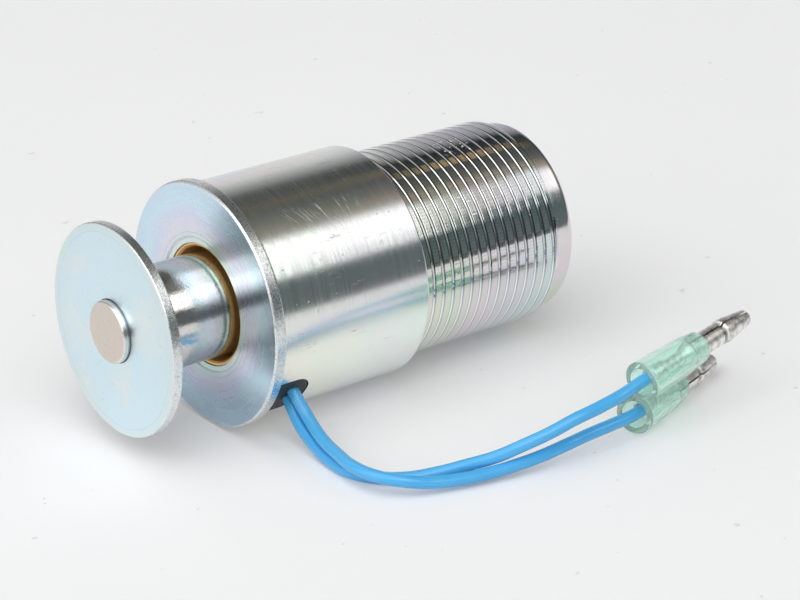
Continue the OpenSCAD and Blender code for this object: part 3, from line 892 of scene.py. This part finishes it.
def tinPlate():
    look = {
        "tin": (0.97, 0.95, 0.92, 1), "dull": (0.52, 0.49, 0.46, 1), "groove": (0.2, 0.19, 0.17, 1),
        "grooveShadeAlong": (19.65, 20.5, 0.1), "rough": (0.26, 0.5),
    }
    material, tree, sockets = newMaterial("rolled_tin_plate", Metallic=1.0)
    place = useGroup(tree, roundPlace)
    spot = objectSpot(tree)
    pits = noise(tree, spot, 1900.0, 4.0, 0.65)
    dull = span(tree, noise(tree, spot, 1100.0, 3.0, 0.6), 0.4, 0.66)
    colour = blendColour(tree, times(tree, dull, 0.8), look["tin"], look["dull"])
    # painted shade: darker in the groove between neck and head
    groove = times(tree, within(tree, place["along"], *look["grooveShadeAlong"]), 0.7)
    colour = blendColour(tree, groove, colour, look["groove"])
    coat(tree, sockets, colour, spread(tree, pits, *look["rough"]))
    relief(tree, sockets, pits, 0.055)
    return material


def blueLead():
    look = {"blue": (0.055, 0.39, 0.78, 1), "pale": (0.11, 0.49, 0.87, 1), "rough": (0.09, 0.16)}
    material, tree, sockets = newMaterial("blue_insulation")
    spot = objectSpot(tree)
    colour = blendColour(tree, noise(tree, spot, 160.0, 3.0), look["blue"], look["pale"])
    fine = noise(tree, spot, 1400.0)
    coat(tree, sockets, colour, spread(tree, fine, *look["rough"]))
    relief(tree, sockets, fine, 0.003)
    return material


def clearSleeve():
    look = {
        "mint": (0.84, 1.0, 0.95, 1), "deep": (0.74, 0.98, 0.89, 1), "rough": (0.02, 0.06),
        "shadow": (0.93, 0.99, 0.97, 1), "body": (0.42, 0.96, 0.8, 1), "density": 16.0,
    }
    material, tree, sockets = newMaterial("clear_green_sleeve", Transmission_Weight=0.84, IOR=1.36)
    spot = objectSpot(tree)
    colour = blendColour(tree, noise(tree, spot, 260.0, 3.0), look["mint"], look["deep"])
    fine = noise(tree, spot, 700.0, 3.0)
    coat(tree, sockets, colour, spread(tree, fine, *look["rough"]))
    relief(tree, sockets, fine, 0.014)
    # light passes the sleeve to what lies in and under it
    surface = tree.nodes["Principled BSDF"].outputs[0]
    output = tree.nodes["Material Output"].inputs
    through = put(tree, "BsdfTransparent", {"Color": look["shadow"]}).outputs[0]
    path = put(tree, "LightPath").outputs["Is Shadow Ray"]
    link(tree, put(tree, "MixShader", {0: path, 1: surface, 2: through}).outputs[0], output["Surface"])
    body = put(tree, "VolumeAbsorption", {"Color": look["body"], "Density": look["density"]})
    link(tree, body.outputs[0], output["Volume"])
    return material


def softBlack():
    look = {"black": (0.018, 0.018, 0.02, 1), "dust": (0.06, 0.06, 0.065, 1), "rough": (0.5, 0.7)}
    material, tree, sockets = newMaterial("black_rubber")
    dust = span(tree, noise(tree, objectSpot(tree), 800.0, 4.0, 0.6), 0.5, 0.75)
    colour = blendColour(tree, dust, look["black"], look["dust"])
    coat(tree, sockets, colour, span(tree, dust, 0.0, 1.0, *look["rough"]))
    relief(tree, sockets, dust, 0.02)
    return material


def innerMetal(name, colour, dark, fineness):
    look = {"rough": (0.25, 0.4), "marks": 0.01}
    material, tree, sockets = newMaterial(name, Metallic=1.0)
    marks = useGroup(tree, toolMarks, fineness=fineness, wander=1.5)
    streaked = blendColour(tree, marks["streak"], colour, dark)
    coat(tree, sockets, streaked, spread(tree, marks["streak"], *look["rough"]))
    relief(tree, sockets, marks["height"], look["marks"])
    return material


def innerPlastic(name, colour, dark, rough):
    look = {"rougher": 0.2, "grain": 0.02}
    material, tree, sockets = newMaterial(name)
    grit = useGroup(tree, grain, scale=700.0)
    grained = blendColour(tree, grit["height"], colour, dark)
    coat(tree, sockets, grained, spread(tree, grit["height"], rough, rough + look["rougher"]))
    relief(tree, sockets, grit["height"], look["grain"])
    return material


def copperStrands():
    look = {"between": (0.45, 0.18, 0.08, 1), "strand": (0.85, 0.48, 0.28, 1), "rough": (0.45, 0.25)}
    material, tree, sockets = newMaterial("copper_strands", Metallic=1.0)
    feeds = {"Vector": objectSpot(tree), "Scale": 900.0, "Distortion": 1.5}
    wave = put(tree, "TexWave", feeds, bands_direction="DIAGONAL").outputs["Fac"]
    colour = blendColour(tree, wave, look["between"], look["strand"])
    coat(tree, sockets, colour, span(tree, wave, 0.0, 1.0, *look["rough"]))
    relief(tree, sockets, wave, 0.08)
    return material


rim = shearedRim()
brass = drawnBrass()
copper = copperStrands()
steel = innerMetal("turned_core_steel", (0.62, 0.62, 0.61, 1), (0.48, 0.48, 0.48, 1), 5.0)
winding = innerMetal("enamelled_copper", (0.72, 0.33, 0.13, 1), (0.45, 0.17, 0.06, 1), 3.2)
wire = innerMetal("spring_wire", (0.55, 0.55, 0.55, 1), (0.4, 0.4, 0.41, 1), 2.0)
nylon = innerPlastic("moulded_nylon", (0.85, 0.83, 0.76, 1), (0.78, 0.75, 0.66, 1), 0.4)
tape = innerPlastic("varnished_tape", (0.78, 0.64, 0.30, 1), (0.66, 0.50, 0.20, 1), 0.35)
fibre = innerPlastic("pressed_fibre", (0.48, 0.32, 0.21, 1), (0.36, 0.22, 0.14, 1), 0.6)
tin = tinPlate()
blue = blueLead()
sleeve = clearSleeve()
print("materials mixed")


# Each new piece takes its node's place, body and finish
def seat(piece, node, body, slot, *materials, second=None):
    # second says which faces take the second material, by place along, radius and normal
    piece.data.materials.clear()
    for material in materials:
        piece.data.materials.append(material)
    if second:
        for face in piece.data.polygons:
            x, y, z = face.center / mm
            face.material_index = 1 if second(x, math.hypot(y, z), face.normal) else 0
    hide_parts(node)
    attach(piece, body)


seat(casePiece, "case", "case_body", "zinc_case", barrelZinc(), threadZinc(),
     second=lambda x, r, normal: x > 0.001)
seat(platePiece, "front_plate", "case_body", "zinc_plate", plateFace(), rim,
     second=lambda x, r, normal: r > plate["rimFrom"])
seat(tubePiece, "guide_tube", "case_body", "brass_tube", brass)
seat(grommetPiece, "lead_grommet", "case_body", "grommet_rubber", softBlack())
seat(plungerPiece, "plunger", "plunger_body", "plunger_steel", plungerSteel(), spigotFace(),
     second=lambda x, r, normal: x < plunger["faceFrom"] and normal.x < -0.9)
seat(discPiece, "plunger_disc", "plunger_body", "zinc_disc", discZinc(), rim,
     second=lambda x, r, normal: r > disc["rimFrom"])
seat(springCoil, "return_spring", "case_body", "spring_wire", wire)
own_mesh(springCoil)
for i in (0, 1):
    n = i + 1
    seat(bulletPieces[i], f"terminal_{n}", "case_body", "tin_plate", tin)
    seat(sleevePieces[i], f"sleeve_{n}", "case_body", "sleeve_green", sleeve)
    seat(leadPieces[i], f"lead_{n}", "case_body", "lead_blue", blue)

# Pieces inside the case and the crimps keep their own shapes
inner = {
    "bobbin": nylon, "coil_winding": winding, "coil_wrap": tape, "stop_core": steel, "core_shim": brass,
    "front_washer": fibre, "rear_washer": fibre, "splice_1": tape, "splice_2": tape,
    "core_1": copper, "core_2": copper,
}
for name, material in inner.items():
    nodes[name].data.materials.clear()
    nodes[name].data.materials.append(material)
print("pieces seated")


# Table: the part lies on the plate's rim and the barrel's end, so the table leans a little to its axis
table = {
    "level": -20.09 * mm,
    "slope": 1 / 29.8,
    "half": 6.0,
    "pale": (0.80, 0.80, 0.80, 1),
    "shade": (0.775, 0.775, 0.78, 1),
    "speck": (0.55, 0.54, 0.53, 1),
    "lift": 0.14,
    "dark": (0.09, 0.1, 0.105, 1),
    "reach": (-0.225, -0.285),  # reflections lose the pale paper here, in front of the part
}


def tablePaper():
    material, tree, sockets = newMaterial(
        "pale_table", Roughness=0.7, Specular_IOR_Level=0.2, Emission_Color=(1, 1, 1, 1))
    spot = objectSpot(tree)
    paper = blendColour(tree, noise(tree, spot, 14.0, 4.0, 0.6), table["pale"], table["shade"])
    specks = times(tree, span(tree, noise(tree, spot, 420.0, 1.0), 0.77, 0.81), 0.6)
    paper = blendColour(tree, specks, paper, table["speck"])
    relief(tree, sockets, noise(tree, spot, 700.0, 3.0), 0.02)
    # pale paper for the camera and in reflections, with no more light on the part
    path = put(tree, "LightPath").outputs
    far = span(tree, put(tree, "SeparateXYZ", {0: spot}).outputs[1], *table["reach"])
    far = times(tree, far, path["Is Glossy Ray"])
    link(tree, blendColour(tree, far, paper, table["dark"]), sockets["Base Color"])
    seen = calc(tree, "MAXIMUM", path["Is Glossy Ray"], path["Is Transmission Ray"])
    seen = calc(tree, "SUBTRACT", calc(tree, "MAXIMUM", path["Is Camera Ray"], seen), far)
    link(tree, times(tree, seen, table["lift"]), sockets["Emission Strength"])
    return material


def layTable():
    half = table["half"]
    rise = table["slope"] * half
    sides = ((-1, -1), (1, -1), (1, 1), (-1, 1))
    corners = [(x * half, y * half, table["level"] + x * rise) for x, y in sides]
    bm = bmesh.new()
    bm.faces.new([bm.verts.new(p) for p in corners])
    mesh = bpy.data.meshes.new("table")
    bm.to_mesh(mesh)
    bm.free()
    piece = bpy.data.objects.new("table", mesh)
    scene.collection.objects.link(piece)
    mesh.materials.append(tablePaper())


layTable()

# World: what the part sees by direction, x along its axis and the turn about it as a share of a half turn
sky = {
    "dome": (0.56, 0.56, 0.56, 1),
    "left": (1.5, 1.5, 1.5, 1), "leftAlong": (-0.55, -0.7), "leftUp": (0.03, 0.15),
    "gap": (0.07, 0.08, 0.08, 1), "gapAlong": (0.1, 0.47, 0.06), "gapShare": 0.9,
    "asideAlong": (-0.8, -0.25, 0.06), "asideUp": (-0.5, 0.3, 0.06), "asideFront": (-0.35, -0.5),
    "roundAlong": (0.44, 0.49), "noseAlong": (0.5605, 0.5645),
    "wood": (0.6, 0.4, 0.18, 1), "woodTurn": (0.36, 0.418, 0.004),
    "woodAlong": ((0.567, 0.583), (0.594, 0.591)),
    "box": (2.3, 2.3, 2.3, 1), "boxTurn": ((0.598, 0.662), (0.85, 0.815)), "boxEnd": (0.8, 0.7),
    "dim": (0.4, 0.39, 0.36, 1), "dimTurn": (0.6, 0.765, 0.03), "dimAlong": (0.5615, 0.5655),
    "end": (1.4, 1.4, 1.4, 1), "endAlong": (0.597, 0.603),
    "frontBoxAlong": (-0.5, 0.1, 0.08),
    # from low behind over the top to low in front, as the barrel and as the thread see it
    "barrel": [
        (0.0, (0.82, 0.78, 0.82)), (0.13, (0.8, 0.77, 0.8)), (0.225, (0.36, 0.36, 0.37)),
        (0.285, (0.07, 0.07, 0.07)), (0.43, (0.06, 0.062, 0.06)), (0.5, (0.14, 0.14, 0.125)),
        (0.6, (0.23, 0.215, 0.185)), (0.84, (0.07, 0.09, 0.095)), (1.0, (0.085, 0.11, 0.12))],
    "thread": [
        (0.0, (0.55, 0.54, 0.6)), (0.12, (0.46, 0.46, 0.5)), (0.21, (0.32, 0.32, 0.34)),
        (0.28, (0.02, 0.025, 0.025)), (0.46, (0.09, 0.1, 0.095)), (0.52, (0.15, 0.145, 0.12)),
        (0.56, (0.36, 0.31, 0.24)), (0.84, (0.085, 0.125, 0.13)), (1.0, (0.14, 0.17, 0.17))],
}


def between(tree, value, rising, falling):
    return times(tree, span(tree, value, *rising), span(tree, value, *falling))


def makeWorld():
    world = bpy.data.worlds.new("studio")
    scene.world = world
    world.use_nodes = True
    tree = world.node_tree
    x, y, z = put(tree, "SeparateXYZ", {0: put(tree, "TexCoord").outputs["Generated"]}).outputs
    turn = calc(tree, "DIVIDE", calc(tree, "ARCTAN2", z, y), math.pi)
    nose = span(tree, x, *sky["noseAlong"])
    bands = blendColour(tree, nose, ramp(tree, turn, sky["barrel"]), ramp(tree, turn, sky["thread"]))
    wood = times(tree, within(tree, turn, *sky["woodTurn"]), between(tree, x, *sky["woodAlong"]))
    bands = blendColour(tree, wood, bands, sky["wood"])
    # open room on the left with a soft box, a dark gap past it, then what the round pieces see
    left = times(tree, span(tree, x, *sky["leftAlong"]), span(tree, z, *sky["leftUp"]))
    room = blendColour(tree, left, sky["dome"], sky["left"])
    gap = times(tree, within(tree, x, *sky["gapAlong"]), sky["gapShare"])
    room = blendColour(tree, gap, room, sky["gap"])
    aside = times(tree, within(tree, x, *sky["asideAlong"]), within(tree, z, *sky["asideUp"]))
    aside = times(tree, aside, span(tree, y, *sky["asideFront"]))
    room = blendColour(tree, aside, room, sky["gap"])
    onRound = span(tree, x, *sky["roundAlong"])
    room = blendColour(tree, onRound, room, bands)
    # long soft box in front, duller where the thread looks at it
    onThread = span(tree, x, *sky["dimAlong"])
    box = blendColour(tree, onThread, sky["box"], sky["dim"])
    box = blendColour(tree, span(tree, x, *sky["endAlong"]), box, sky["end"])
    high = between(tree, turn, *sky["boxTurn"])
    wide = blendValue(tree, onThread, high, within(tree, turn, *sky["dimTurn"]))
    inBox = times(tree, wide, times(tree, onRound, span(tree, x, *sky["boxEnd"])))
    frontBox = times(tree, high, within(tree, x, *sky["frontBoxAlong"]))
    inBox = plus(tree, inBox, frontBox, clamp=True)
    link(tree, blendColour(tree, inBox, room, box), tree.nodes["Background"].inputs["Color"])


makeWorld()

lamp = {"at": (-0.45, -0.2, 0.85), "size": 1.0, "power": 3.4}
light = bpy.data.lights.new("overhead", "AREA")
light.shape = "SQUARE"
light.size = lamp["size"]
light.energy = lamp["power"]
lightPiece = bpy.data.objects.new("overhead", light)
lightPiece.location = lamp["at"]
lightPiece.rotation_euler = Vector(lamp["at"]).to_track_quat("Z", "Y").to_euler()
scene.collection.objects.link(lightPiece)
scene.view_settings.view_transform = "Standard"
print("table, world and lamp set")
